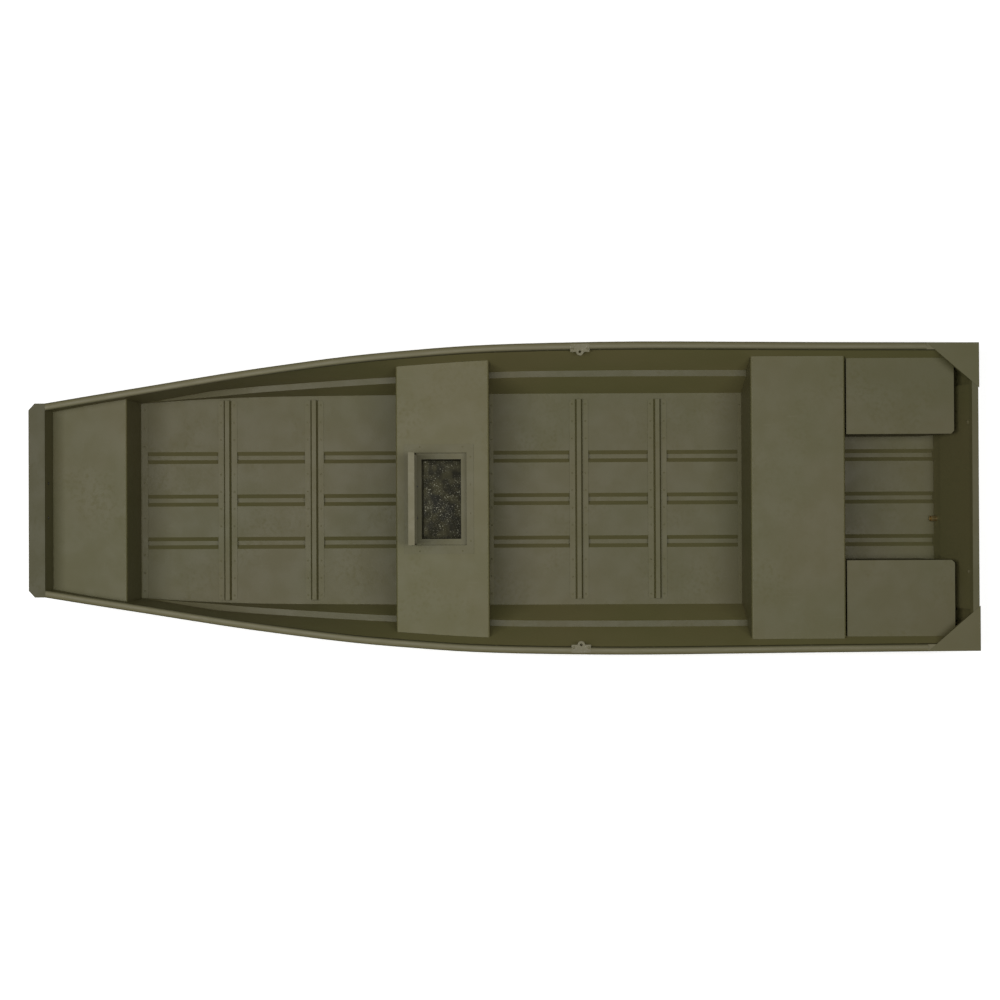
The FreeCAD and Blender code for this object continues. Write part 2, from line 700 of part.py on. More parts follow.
def bow_handle():
    """Round rod handle on two feet, square to the bow plate."""
    reach, half = size("handle_reach"), size("handle_half_width")
    bend, radius = size("handle_bend"), size("handle_rod")
    sheet_foot = size("handle_foot_sheet")
    start = FreeCAD.Vector(-half, 0, 0)
    corner = FreeCAD.Vector(-half, -reach, 0)
    first = FreeCAD.Vector(-half, bend - reach, 0)
    second = FreeCAD.Vector(bend - half, -reach, 0)
    turn = bend * (1 - math.sqrt(0.5))
    middle = corner + FreeCAD.Vector(turn, turn, 0)
    path = [Part.LineSegment(start, first), Part.Arc(first, middle, second),
            Part.LineSegment(second, FreeCAD.Vector(0, -reach, 0))]
    route = Part.Wire([piece.toShape() for piece in path])
    ring = Part.Wire(Part.makeCircle(radius, start, FreeCAD.Vector(0, -1, 0)))
    half_rod = route.makePipeShell([ring], True, False)
    foot = Part.makeCylinder(size("handle_foot"), sheet_foot, start, FreeCAD.Vector(0, -1, 0))
    side = half_rod.fuse(foot)
    shape = side.fuse(side.mirror(FreeCAD.Vector(), FreeCAD.Vector(1, 0, 0))).removeSplitter()
    level = size("floor_level + handle_height")
    back = size("bow_plate_sheet + 2 * seam_gap") * math.hypot(1, size("plate_lean"))
    made = feature("bow_handle", shape)
    made.Placement = FreeCAD.Placement(
        FreeCAD.Vector(0, bow_plate_back(level) - back, level), BOW_LEAN)
    keep(made, "bow_handle")


def bow_deck():
    """Deck, its folded edge and bulkhead, and the flange that follows the floor."""
    owner = body("bow_deck_folding")
    sheet_top = "deck_top - bench_sheet"
    front = "cap_back + seam_gap"
    corners = [(front, "deck_top"), ("bulkhead", "deck_top"), ("bulkhead", "0"),
               ("bulkhead - bench_sheet", "0"), ("bulkhead - bench_sheet", sheet_top),
               (front, sheet_top)]
    extrude("Pad", owner, sketch(owner, "YZ_Plane", corners), "blank_width", side="Symmetric")
    fold(owner, "deck_top", "bench_sheet", "bench_round", plain_end=front)
    fitted = pair("Common", "bow_deck_fitted", owner, interior)

    def foot_section(y):
        half = floor_half(y) - GAP
        level = floor(y) + GAP
        top = level + size("bench_sheet")
        return [(-half, level), (half, level), (half, top), (-half, top)]

    strip = feature("bow_deck_foot_strip", lofted(room_marks, foot_section))
    band = block("bow_deck_foot_band", "blank_width", "bench_sheet / 2 + deck_foot",
                 "deck_top / 2", "-blank_width / 2", "bulkhead - bench_sheet / 2")
    foot = pair("Common", "bow_deck_foot", strip, band)
    keep(fuse("bow_deck", [fitted, foot]), "bow_deck")


bow_plate()
bow_inner_plate()
bow_cap()
bow_handle()
bow_deck()


# ---------------------------------------------------------------- benches and boxes

def bench(label, front, back, front_foot, back_foot):
    """Folded bench: two walls, a top and a flange on the floor at each wall."""
    owner = body(label + "_folding")
    seat, inside = "floor_seat + bench_sheet", "bench_top - bench_sheet"
    corners = [(f"{front} - {front_foot}", "floor_seat"), (f"{front} - {front_foot}", seat),
               (front, seat), (front, "bench_top"), (back, "bench_top"), (back, seat),
               (f"{back} + {back_foot}", seat), (f"{back} + {back_foot}", "floor_seat"),
               (f"{back} - bench_sheet", "floor_seat"), (f"{back} - bench_sheet", inside),
               (f"{front} + bench_sheet", inside), (f"{front} + bench_sheet", "floor_seat")]
    extrude("Pad", owner, sketch(owner, "YZ_Plane", corners), "blank_width", side="Symmetric")
    fold(owner, "bench_top", "bench_sheet", "bench_round")
    return pair("Common", label + "_fitted", owner, interior)


def benches():
    middle = bench("middle_bench", "middle_front", "middle_back", "bench_foot", "bench_foot")
    edge = "(well_wall + seam_gap)"
    hole = block("well_hole", f"2 * (well_recess_half + {edge})",
                 f"well_recess_length + 2 * {edge}", "6 * bench_sheet",
                 f"-well_recess_half - {edge}", f"recess_front - {edge}",
                 "bench_top - 3 * bench_sheet")
    keep(pair("Cut", "middle_bench", middle, hole), "middle_bench")
    rear = bench("rear_bench", "rear_front", "rear_back", "bench_foot", "rear_bench_foot")
    keep(rear, "rear_bench")


def box_block(label, inset, foot):
    """Stern box as a block whose back leans with the transom, its inner aft corner cut."""
    owner = body(label)
    front, top = f"(box_front + {inset})", f"(box_top - {inset})"

    def back(level):
        lean = f"(box_top - {level}) * tan(transom_rake)"
        return f"(box_back - {inset} / cos(transom_rake) - {lean})"

    corners = [(front, foot), (front, top), (back(top), top), (back(foot), foot)]
    extrude("Pad", owner, sketch(owner, "YZ_Plane", corners), "half_beam")
    doc.recompute()
    base = owner.Tip
    aft_corners = [f"Edge{i}" for i, edge in enumerate(base.Shape.Edges, start=1)
                   if edge.BoundBox.XMax < 0.01 and edge.BoundBox.ZLength > 1
                   and edge.BoundBox.YLength > 1]
    cut = owner.newObject("PartDesign::Chamfer", label + "_corner")
    cut.Base = (base, aft_corners)
    cut.setExpression("Size", formula(f"box_corner - {inset} / 2"))
    return place(owner, x=f"box_inner + {inset}")


def stern_boxes():
    outside = box_block("stern_box_outside", "0", "floor_seat")
    inside = box_block("stern_box_inside", "bench_sheet", "0")
    shell = pair("Cut", "stern_box_shell", outside, inside)
    piece = keep(pair("Common", "stern_box_port", shell, interior), "stern_box_port")
    other_side(piece, "stern_box_starboard")


def floor_rib(number, middle):
    """Hat-shaped stiffener riveted across the floor, with cut corners to its flanges."""
    owner = body(f"floor_rib_{number}")
    step, base, crown = "rib_foot / 2", "rib_base / 2", "rib_crown / 2"
    under = "rib_height - rib_sheet"
    corners = [(f"-{step}", "0"), (f"-{step}", "rib_sheet"), (f"-{base}", "rib_sheet"),
               (f"-{crown}", "rib_height"), (crown, "rib_height"), (base, "rib_sheet"),
               (step, "rib_sheet"), (step, "0"), (f"{base} - rib_wall", "0"),
               (f"{crown} - rib_wall", under), (f"rib_wall - {crown}", under),
               (f"rib_wall - {base}", "0")]
    extrude("Pad", owner, sketch(owner, "YZ_Plane", corners), "2 * rib_half_length",
            side="Symmetric")

    def flange_corner(edge):
        box = edge.BoundBox
        outer = abs(abs(box.YMin) - size(step)) < 0.01 and box.YLength < 0.01
        return outer and box.ZLength > 1 and box.XLength < 0.01

    round_edges(owner, "rib_corner", flange_corner, "corners")
    y = size(middle)
    tilt = math.degrees(math.atan(bottom_slope(y)))
    owner.Placement = FreeCAD.Placement(FreeCAD.Vector(0, y, floor(y) + GAP),
                                        FreeCAD.Rotation(FreeCAD.Vector(1, 0, 0), tilt))
    keep(owner, f"floor_rib_{number}")


benches()
stern_boxes()
RIB_PLACES = ("bulkhead + rib_1_setback", "bulkhead + rib_2_setback",
              "rear_front - rib_3_ahead", "rear_front - rib_4_ahead")
for number, rib_place in enumerate(RIB_PLACES, start=1):
    floor_rib(number, rib_place)


# ---------------------------------------------------------------- transom

def transom_skin():
    """Raked sheet that closes the stern, with the drain's hole."""
    slab = block("transom_slab", "blank_width", "transom_sheet",
                 "2 * side_height", "-blank_width / 2",
                 "skin_aft - transom_sheet / cos(transom_rake)"
                 " - (stern_top + blank_below) * tan(transom_rake)",
                 "-blank_below", turn=STERN_LEAN)
    below_cap = block("under_transom_cap", "blank_width", "hull_length",
                      "stern_top + blank_below - transom_cap_sheet - seam_gap",
                      "-blank_width / 2", "0", "-blank_below")
    trimmed = pair("Common", "transom_trimmed", slab, below_cap)
    skin = pair("Common", "transom_skin_blank", trimmed, stern_outline)
    hole = along_drain("drain_hole", "drain_radius + drain_wall + pin_clearance",
                       "2 * drain_length", "drain_length")
    keep(pair("Cut", "transom_skin", skin, hole), "transom_skin")


def along_drain(label, radius, length, inboard):
    """A rod on the drain's axis that starts so far inboard of the drain's mouth."""
    mouth = ("skin_aft - (stern_top - floor_level - drain_height) * tan(transom_rake)"
             " + seam_gap + drain_wall")
    return rod(label, radius, length, "drain_offset",
               f"{mouth} - {inboard} * cos(transom_rake)",
               f"floor_level + drain_height + {inboard} * sin(transom_rake)",
               turn=STERN_LEAN.multiply(ALONG_Y))


def transom_board():
    high = "(stern_top - board_drop - floor_level - board_foot)"
    keep(block("transom_board", "2 * board_half_width", "board_thickness",
               f"{high} / cos(transom_rake)", "-board_half_width",
               "skin_aft - (transom_sheet + seam_gap + board_thickness) / cos(transom_rake)"
               f" - ({high} + board_drop) * tan(transom_rake)",
               "floor_level + board_foot", turn=STERN_LEAN), "transom_board")


def transom_cap():
    """Channel over the transom's top edge, between the gunwales."""
    owner = body("transom_cap")
    lean = "transom_cap_lip * tan(transom_rake)"
    lip, thick = "(stern_top - transom_cap_lip)", "transom_cap_sheet"
    corners = [("cap_fore", "stern_top"), ("cap_aft", "stern_top"), (f"cap_aft - {lean}", lip),
               (f"cap_aft - {thick} - {lean}", lip),
               (f"cap_aft - {thick} - {thick} * tan(transom_rake)", f"stern_top - {thick}"),
               (f"cap_fore + {thick} - {thick} * tan(transom_rake)", f"stern_top - {thick}"),
               (f"cap_fore + {thick} - {lean}", lip), (f"cap_fore - {lean}", lip)]
    extrude("Pad", owner, sketch(owner, "YZ_Plane", corners),
            "2 * (stern_half - gunwale_width - transom_cap_end)", side="Symmetric")
    keep(owner, "transom_cap")


def corner_gussets():
    """Flat triangle over each stern corner, its long edge turned down between the rails."""
    owner = body("corner_gusset_port")
    corners = [("stern_half", "stern_edge"), ("stern_half", "stern_edge - gusset_along"),
               ("stern_half - gusset_across", "stern_edge")]
    extrude("Pad", owner, sketch(owner, "XY_Plane", corners), "gusset_sheet")

    def along(share, inward):
        across = f"stern_half - gusset_across * {share}"
        back = f"stern_edge - gusset_along + gusset_along * {share}"
        return (f"{across} + {inward} * gusset_along / gusset_edge",
                f"{back} + {inward} * gusset_across / gusset_edge")

    near = "((gunwale_width + 2 * gunwale_lip) / gusset_across)"
    far = "(1 - (transom_cap_setback + transom_cap_width + gusset_lip_gap) / gusset_along)"
    strip = [along(near, "0"), along(far, "0"), along(far, "gusset_sheet"),
             along(near, "gusset_sheet")]
    extrude("Pad", owner, sketch(owner, "XY_Plane", strip, "lip_outline"), "gusset_lip",
            reverse=True, label="lip")
    place(owner, z="stern_top + well_seat")
    keep(owner, "corner_gusset_port")
    other_side(owner, "corner_gusset_starboard")


def drain_tube():
    """Brass tube through the transom with a turned flange outside."""
    outer = along_drain("drain_outer", "drain_radius + drain_wall", "drain_length",
                        "drain_length")
    flange = along_drain("drain_disc", "drain_flange", "drain_wall", "drain_wall")
    bore = along_drain("drain_bore", "drain_radius", "2 * drain_length", "drain_length")
    keep(pair("Cut", "drain_tube", fuse("drain_solid", [outer, flange]), bore), "drain_tube")


transom_skin()
transom_board()
transom_cap()
corner_gussets()
drain_tube()


# ---------------------------------------------------------------- oarlocks

def oarlock_sockets():
    """Pad on the gunwale with a round ear inboard of it, bored for an oarlock's shank."""
    y = size("oarlock_back")
    fall = math.degrees(math.atan(gunwale_top(y + 0.5) - gunwale_top(y - 0.5)))
    owner = body("oarlock_pad_port")
    inner, outer = "-oarlock_reach", "-oarlock_pad_edge"
    fore, aft = "-oarlock_pad / 2", "oarlock_pad / 2"
    corners = [(inner, fore), (outer, fore), (outer, aft), (inner, aft)]
    extrude("Pad", owner, sketch(owner, "XY_Plane", corners), "oarlock_sheet")
    ear = rod("oarlock_ear", "oarlock_ear", "oarlock_drop + oarlock_sheet",
              "-oarlock_reach", "0", "-oarlock_drop")
    clear = block("oarlock_clear", "oarlock_reach", "oarlock_pad", "oarlock_drop + well_seat",
                  "-oarlock_clear", "-oarlock_pad / 2", "-oarlock_drop")
    bore = rod("oarlock_bore", "oarlock_bore", "4 * oarlock_drop", "-oarlock_reach", "0",
               "-2 * oarlock_drop")
    solid = fuse("oarlock_solid", [owner, pair("Cut", "oarlock_ear_cut", ear, clear)])
    socket = pair("Cut", "oarlock_socket_port", solid, bore)
    socket.Placement = FreeCAD.Placement(
        FreeCAD.Vector(half_beam(y), y, gunwale_top(y) + size("well_seat")),
        FreeCAD.Rotation(FreeCAD.Vector(1, 0, 0), fall))
    keep(socket, "oarlock_socket_port")
    other_side(socket, "oarlock_socket_starboard")


oarlock_sockets()


# ---------------------------------------------------------------- livewell

def livewell_liner():
    """Moulded tank hung in the bench: flange, lid recess and well."""
    flange = block("well_flange", "2 * (well_recess_half + well_flange_side)",
                   "well_recess_length + well_flange_front + well_flange_back",
                   "well_wall - well_seat", "-well_recess_half - well_flange_side",
                   "recess_front - well_flange_front", "bench_top + well_seat")
    recess = block("well_recess", "2 * (well_recess_half + well_wall)",
                   "well_recess_length + 2 * well_wall", "well_recess_depth + well_wall",
                   "-well_recess_half - well_wall", "recess_front - well_wall",
                   "well_top - well_recess_depth - well_wall")
    tank = block("well_tank", "2 * (well_half + well_wall)", "well_length + 2 * well_wall",
                 "well_depth - well_recess_depth", "-well_half - well_wall",
                 "well_front - well_wall", "well_top - well_depth")
    recess_room = block("well_recess_room", "2 * well_recess_half", "well_recess_length",
                        "2 * well_recess_depth", "-well_recess_half", "recess_front",
                        "well_top - well_recess_depth")
    tank_room = block("well_tank_room", "2 * well_half", "well_length", "well_depth",
                      "-well_half", "well_front", "well_top - well_depth + well_wall")
    outside = fuse("well_outside", [flange, recess, tank])
    inside = fuse("well_inside", [recess_room, tank_room])
    keep(pair("Cut", "livewell_liner", outside, inside), "livewell_liner")


def livewell_lid():
    """The lid's pan, drawn closed about the hinge pin."""
    length = "(lid_back - lid_front)"
    pan = block("lid_outside", "2 * lid_half", length, "lid_depth", "-lid_half",
                "lid_front", "hinge_drop - lid_depth")
    hollow = block("lid_inside", "2 * (lid_half - lid_sheet)", f"{length} - 2 * lid_sheet",
                   "lid_depth", "lid_sheet - lid_half", "lid_front + lid_sheet",
                   "hinge_drop - lid_depth - lid_sheet")
    return keep(pair("Cut", "livewell_lid", pan, hollow), "livewell_lid")


def livewell_hinge():
    """Knuckle hinge: one half on the recess's front wall, the other on the lid's rim."""
    half, leaf = "hinge_half_length", "hinge_leaf"
    lid_leaf = block("lid_leaf", f"2 * {half}", leaf, "hinge_leaf_width", f"-{half}",
                     f"hinge_lid_gap - {leaf} - well_seat", "-hinge_leaf_width")
    wall_leaf = block("wall_leaf", f"2 * {half}", leaf, "hinge_leaf_width", f"-{half}",
                      "recess_front + well_seat", "hinge_z - hinge_leaf_width")
    pin = rod("hinge_pin", "pin_radius", f"2 * {half}", f"-{half}", "hinge_y", "hinge_z",
              turn=ALONG_X)
    on_lid, on_bench, bores = [lid_leaf], [wall_leaf, pin], []
    pitch = f"(2 * {half} / hinge_knuckles)"
    for number in range(int(size("hinge_knuckles"))):
        start, long = f"{number} * {pitch} - {half} + hinge_slack / 2", f"{pitch} - hinge_slack"
        moves = number % 2 == 1
        y, z = ("0", "0") if moves else ("hinge_y", "hinge_z")
        barrel = rod(f"knuckle_{number}", "hinge_radius", long, start, y, z, turn=ALONG_X)
        if moves:
            arm = block(f"knuckle_arm_{number}", long, "hinge_lid_gap - well_seat - pin_radius",
                        leaf, start, "pin_radius", f"-{leaf}")
            on_lid += [barrel, arm]
            bores.append(rod(f"knuckle_bore_{number}", "pin_radius + pin_clearance",
                             f"{long} + 2 * hinge_slack", f"{start} - hinge_slack", turn=ALONG_X))
        else:
            arm = block(f"knuckle_arm_{number}", long, "hinge_setback - well_seat", leaf,
                        start, "recess_front + well_seat", f"hinge_z - {leaf}")
            on_bench += [barrel, arm]
    keep(fuse("livewell_hinge_fixed", on_bench), "livewell_hinge_fixed")
    lid_half = pair("Cut", "livewell_hinge_leaf", fuse("lid_leaf_solid", on_lid),
                    fuse("lid_leaf_bores", bores))
    return keep(lid_half, "livewell_hinge_leaf")


livewell_liner()
swung_open = FreeCAD.Placement(FreeCAD.Vector(0, size("hinge_y"), size("hinge_z")),
                               FreeCAD.Rotation(FreeCAD.Vector(1, 0, 0), size("lid_open")))
for piece in (livewell_lid(), livewell_hinge()):
    piece.Placement = swung_open

doc.recompute()

# ---------------------------------------------------------------- hand in

failed = [item.Label for item in doc.Objects
          if "Invalid" in item.State or "Error" in item.State]
if failed:
    raise RuntimeError("failed: " + ", ".join(failed))
for label, piece in nodes.items():
    if piece.Shape.isNull() or not piece.Shape.isValid() or len(piece.Shape.Solids) != 1:
        raise RuntimeError(f"{label} has no sound shape")
os.makedirs("parts", exist_ok=True)
for label, piece in nodes.items():
    piece.Shape.exportStep(f"parts/{label}.step")
    print(label, round(piece.Shape.Volume / 1000, 1), "cm3,", len(piece.Shape.Solids), "solid")
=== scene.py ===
import math
import random

import bpy
from mathutils import Matrix, Vector
from mathutils.bvhtree import BVHTree


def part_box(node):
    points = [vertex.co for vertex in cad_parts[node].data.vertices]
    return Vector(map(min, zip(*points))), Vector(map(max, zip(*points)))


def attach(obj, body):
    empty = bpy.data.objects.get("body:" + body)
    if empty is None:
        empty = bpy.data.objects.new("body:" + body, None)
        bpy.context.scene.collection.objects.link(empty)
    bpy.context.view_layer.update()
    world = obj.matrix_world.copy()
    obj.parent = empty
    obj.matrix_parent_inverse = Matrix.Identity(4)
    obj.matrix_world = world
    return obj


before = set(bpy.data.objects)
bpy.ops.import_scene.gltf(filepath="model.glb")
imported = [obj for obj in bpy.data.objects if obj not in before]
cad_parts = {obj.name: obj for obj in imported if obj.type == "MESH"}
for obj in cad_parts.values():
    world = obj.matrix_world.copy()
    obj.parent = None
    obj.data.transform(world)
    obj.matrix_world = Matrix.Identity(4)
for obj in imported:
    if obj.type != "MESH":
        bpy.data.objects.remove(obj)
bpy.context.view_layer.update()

MM = 0.001
UP, DOWN = Vector((0, 0, 1)), Vector((0, 0, -1))
AFT, FORWARD = Vector((0, 1, 0)), Vector((0, -1, 0))
PORT, STARBOARD = Vector((1, 0, 0)), Vector((-1, 0, 0))


# ---------------------------------------------------------------- shader maths

class Shade:
    """One output of a finish's nodes; arithmetic on it adds the nodes that work it out."""

    def __init__(self, finish, socket):
        self.finish = finish
        self.socket = socket

    def combine(self, operation, first, second):
        add = self.finish.node
        if self.socket.type == "RGBA":
            return add("ShaderNodeMix", {"data_type": "RGBA", "blend_type": operation},
                       {0: 1.0, 6: first, 7: second}, 2)
        if self.socket.type == "VECTOR":
            return add("ShaderNodeVectorMath", {"operation": operation}, {0: first, 1: second})
        return add("ShaderNodeMath", {"operation": operation}, {0: first, 1: second})

    def __add__(self, other):
        return self.combine("ADD", self, other)

    __radd__ = __add__

    def __sub__(self, other):
        return self.combine("SUBTRACT", self, other)

    def __rsub__(self, other):
        return self.combine("SUBTRACT", other, self)

    def __mul__(self, other):
        return self.combine("MULTIPLY", self, other)

    __rmul__ = __mul__

    def step(self, low, high):
        """0 below low, 1 above high and a soft ramp between; low above high turns it over."""
        return self.finish.node("ShaderNodeMapRange", {"interpolation_type": "SMOOTHSTEP"},
                                {0: self, 1: low, 2: high}, 0)

    def choose(self, off, on):
        """Colour off where this mask is 0 and colour on where it is 1."""
        return self.finish.node("ShaderNodeMix", {"data_type": "RGBA"}, {0: self, 6: off, 7: on}, 2)


class Finish:
    """A material and the nodes that feed its shader."""

    def __init__(self, name):
        self.material = bpy.data.materials.new(name)
        self.material.use_nodes = True
        self.tree = self.material.node_tree
        self.shader = self.tree.nodes["Principled BSDF"]

    def node(self, kind, settings=None, inputs=None, output=0):
        made = self.tree.nodes.new(kind)
        for name, value in (settings or {}).items():
            setattr(made, name, value)
        for key, value in (inputs or {}).items():
            self.feed(made.inputs[key], value)
        return Shade(self, made.outputs[output])

    def feed(self, socket, value):
        if isinstance(value, Shade):
            self.tree.links.new(value.socket, socket)
        elif socket.type == "RGBA":
            socket.default_value = (*value, 1)
        else:
            socket.default_value = value

    def set(self, **inputs):
        for name, value in inputs.items():
            self.feed(self.shader.inputs[name.replace("_", " ")], value)

    def place(self, stretch=(1, 1, 1)):
        """Where a point lies on the boat, in metres."""
        spot = self.node("ShaderNodeTexCoord", output="Object")
        return spot if stretch == (1, 1, 1) else spot * stretch

    def height(self):
        return self.node("ShaderNodeSeparateXYZ", {}, {0: self.place()}, "Z")

    def facing_up(self):
        """1 on a level top, 0 on an upright wall."""
        normal = self.node("ShaderNodeNewGeometry", output="Normal")
        return self.node("ShaderNodeSeparateXYZ", {}, {0: normal}, "Z")

    def noise(self, scale, detail=2.0, stretch=(1, 1, 1)):
        return self.node("ShaderNodeTexNoise", {},
                         {"Vector": self.place(stretch), "Scale": scale, "Detail": detail})

    def cells(self, scale, output="Distance"):
        return self.node("ShaderNodeTexVoronoi", {},
                         {"Vector": self.place(), "Scale": scale}, output)

    def bump(self, height, depth, under=None):
        """A bump of that depth in metres, over another bump."""
        inputs = {"Height": height, "Distance": depth, "Strength": 1.0}
        if under:
            inputs["Normal"] = under
        return self.node("ShaderNodeBump", {}, inputs)


# ---------------------------------------------------------------- finishes

OLIVE = (0.103, 0.091, 0.037)
OLIVE_GREEN = (0.096, 0.089, 0.034)
OLIVE_PALE = (0.152, 0.136, 0.070)
# Darkest colour of the painted shade in corners and recesses.
CORNER_SHADE_COLOUR = (0.026, 0.021, 0.007)
ALLOY = (0.42, 0.41, 0.38)


def paint_nodes(finish, base, other, pale):
    """Sprayed satin paint on sheet: drifting tone, spray grain, scuffs and a soft wave."""
    drift = finish.noise(1.3, 3).step(0.38, 0.62)
    clouds = finish.noise(9, 4).step(0.3, 0.7)
    colour = drift.choose(base, other)
    colour = (clouds * 0.05).choose(colour, pale)
    grain = finish.noise(420, 2)
    colour = (grain.step(0.5, 0.72) * 0.10).choose(colour, pale)
    scuff_along = finish.noise(26, 5, (7, 0.35, 7)).step(0.66, 0.72)
    scuff_across = finish.noise(22, 5, (0.4, 8, 8)).step(0.69, 0.74)
    patches = finish.noise(2.1, 2).step(0.5, 0.66)
    scuffs = (scuff_along + scuff_across) * patches
    colour = (scuffs * 0.22).choose(colour, pale)
    dust = finish.noise(55, 5).step(0.45, 0.75) * finish.noise(3.3, 2).step(0.42, 0.7)
    colour = (dust * 0.08).choose(colour, pale)
    roughness = 0.46 + clouds * 0.07 + dust * 0.12 - scuffs * 0.06 + grain * 0.06
    wave = finish.bump(finish.noise(3.2, 1), 0.0035)
    normal = finish.bump(finish.noise(170, 3) + scuffs * -0.25, 0.00012, wave)
    return colour, roughness, normal


def hull_paint(name="olive_paint", tone=1.0, painted_wall_light=1.0):
    """Olive paint with painted shade darkening its corners in patches; tone scales a whole piece, and
    the wall tone its upright faces, to paint light and shade onto them.
    """
    finish = Finish(name)
    base, other, pale = ([tone * part for part in colour]
                         for colour in (OLIVE, OLIVE_GREEN, OLIVE_PALE))
    colour, roughness, normal = paint_nodes(finish, base, other, pale)
    # Painted light: faces that stand upright get their own brightness, for how the light falls on
    # walls compared with level faces.
    if painted_wall_light != 1.0:
        colour = colour * (finish.facing_up().step(0.85, 0.55) * (painted_wall_light - 1) + 1.0)
    # Painted shade: ambient occlusion darkens the paint in patches where corners and recesses close
    # in, standing in for shade.
    corner = finish.node("ShaderNodeAmbientOcclusion", {"samples": 6},
                         {"Distance": 0.022}, "AO").step(0.7, 0.2)
    painted_corner_shade = corner * finish.noise(30, 4).step(0.3, 0.65)
    finish.set(Base_Color=(painted_corner_shade * 0.45).choose(colour, CORNER_SHADE_COLOUR),
               Roughness=roughness + painted_corner_shade * 0.15, Normal=normal, IOR=1.38)
    return finish.material


def rail_paint(name="olive_rail_paint_painted_light", shoulder=0.60, crown=0.95):
    """The same paint on the rails, with a painted highlight on the level crown, varied by rubbed wear,
    and painted shade down its shoulders.
    """
    finish = Finish(name)
    colour, roughness, normal = paint_nodes(finish, OLIVE, OLIVE_GREEN, OLIVE_PALE)
    rubbed = finish.noise(48, 6, (1, 0.22, 1)).step(0.45, 0.75)
    streaks = finish.noise(260, 3, (1, 0.04, 1)).step(0.5, 0.8)
    # Painted light and shade: level faces are painted paler and sloping shoulders darker, for how the
    # light falls across the rounded rail.
    top = finish.facing_up().step(shoulder, crown)
    colour = colour * (top * 0.42 + 0.58)
    colour = (top * (0.58 + rubbed * 0.26 + streaks * 0.10)).choose(colour, OLIVE_PALE)
    finish.set(Base_Color=colour, Roughness=roughness - top * 0.05, Normal=normal, IOR=1.38)
    return finish.material


def livewell_finish():
    """Olive on the flange and lid seat, and dark speckled plastic down in the tank."""
    finish = Finish("livewell_moulding")
    colour, roughness, normal = paint_nodes(finish, OLIVE, OLIVE_GREEN, OLIVE_PALE)
    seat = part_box("livewell_liner")[1].z - SEAT_DEPTH
    inside = finish.height().step(seat - 0.001, seat - 0.003)
    clouds = finish.noise(24, 5)
    dark = clouds.step(0.35, 0.68).choose((0.026, 0.023, 0.006), (0.095, 0.086, 0.036))
    blue = finish.noise(9, 2).step(0.5, 0.7)
    dark = (blue * 0.25).choose(dark, (0.060, 0.062, 0.066))
    gather = finish.noise(11, 3).step(0.30, 0.56)
    fine = finish.cells(150).step(0.42, 0.22) * finish.noise(170, 2).step(0.46, 0.58)
    coarse = finish.cells(80).step(0.30, 0.14) * finish.noise(70, 2).step(0.48, 0.60)
    specks = (fine * 0.5 + coarse) * gather
    dark = specks.choose(dark, (0.62, 0.60, 0.44))
    pebble = finish.bump(finish.noise(260, 4) + specks, 0.0006)
    both = finish.node("ShaderNodeMix", {"data_type": "VECTOR"},
                       {0: inside, 4: normal, 5: pebble}, 1)
    finish.set(Base_Color=inside.choose(colour, dark),
               Roughness=roughness + inside * 0.14, Normal=both, IOR=1.40)
    return finish.material


def fitting_paint():
    """Cast fittings painted with the hull, worn paler and chipped to metal at their rims."""
    finish = Finish("worn_fitting_paint")
    colour, roughness, normal = paint_nodes(finish, OLIVE, OLIVE_GREEN, OLIVE_PALE)
    worn = finish.noise(120, 5).step(0.35, 0.7)
    chips = finish.noise(310, 4).step(0.66, 0.70)
    colour = (0.45 + worn * 0.4).choose(colour, OLIVE_PALE)
    colour = (chips * 0.8).choose(colour, ALLOY)
    cast = finish.bump(finish.noise(520, 4), 0.00025, normal)
    finish.set(Base_Color=colour, Roughness=roughness - chips * 0.1,
               Metallic=chips * 0.9, Normal=cast)
    return finish.material


def steel(name, colour, rough):
    """Plated steel with fine turning marks, dulled and stained in patches."""
    finish = Finish(name)
    stain = finish.noise(90, 5).step(0.4, 0.75)
    marks = finish.noise(1500, 2, (1, 1, 6))
    dull = [part * 0.45 for part in colour]
    finish.set(Base_Color=(stain * 0.6).choose(colour, dull), Metallic=0.95 - stain * 0.25,
               Roughness=rough + stain * 0.25 + marks * 0.08,
               Normal=finish.bump(marks, 0.00004))
    return finish.material


def studio_floor():
    finish = Finish("studio_floor")
    tone = finish.noise(0.8, 3).step(0.3, 0.7)
    finish.set(Base_Color=tone.choose((0.90, 0.90, 0.90), (0.93, 0.93, 0.925)),
               Roughness=0.75 + tone * 0.1, Normal=finish.bump(finish.noise(60, 3), 0.0002))
    finish.set(Emission_Color=(1, 1, 1), Emission_Strength=0.62)
    return finish.material


SEAT_DEPTH = 0.040
OLIVE_PAINT = hull_paint()
# Copies of the one olive paint, each made darker or lighter to paint light and shade: painted shade on
# the floor, stern boxes, caps, bow cap and the sides' level faces; painted light on the middle bench
# and the sides' upright faces.
SHADED_FLOOR_PAINT = hull_paint("olive_paint_bottom_painted_shade", 0.94)
PAINTED_LIGHT_SIDE_PAINT = hull_paint("olive_paint_sides_painted_light", 0.80, 1.95)
SHADED_CAP_PAINT = hull_paint("olive_paint_caps_painted_shade", 0.88)
SHADED_BOW_CAP_PAINT = hull_paint("olive_paint_bow_cap_painted_shade", 0.72)
LIT_BENCH_PAINT = hull_paint("olive_paint_middle_bench_painted_light", 1.10)
PAINTED_LIGHT_RAIL_PAINT = rail_paint()
PAINTED_LIGHT_CROWN_PAINT = rail_paint("olive_rail_crown_paint_painted_light", 0.925, 0.975)
LIVEWELL = livewell_finish()
FITTING = fitting_paint()
BRASS = steel("drain_brass", (0.50, 0.38, 0.17), 0.30)
DARK_STEEL = steel("dark_bolt", (0.10, 0.095, 0.08), 0.45)

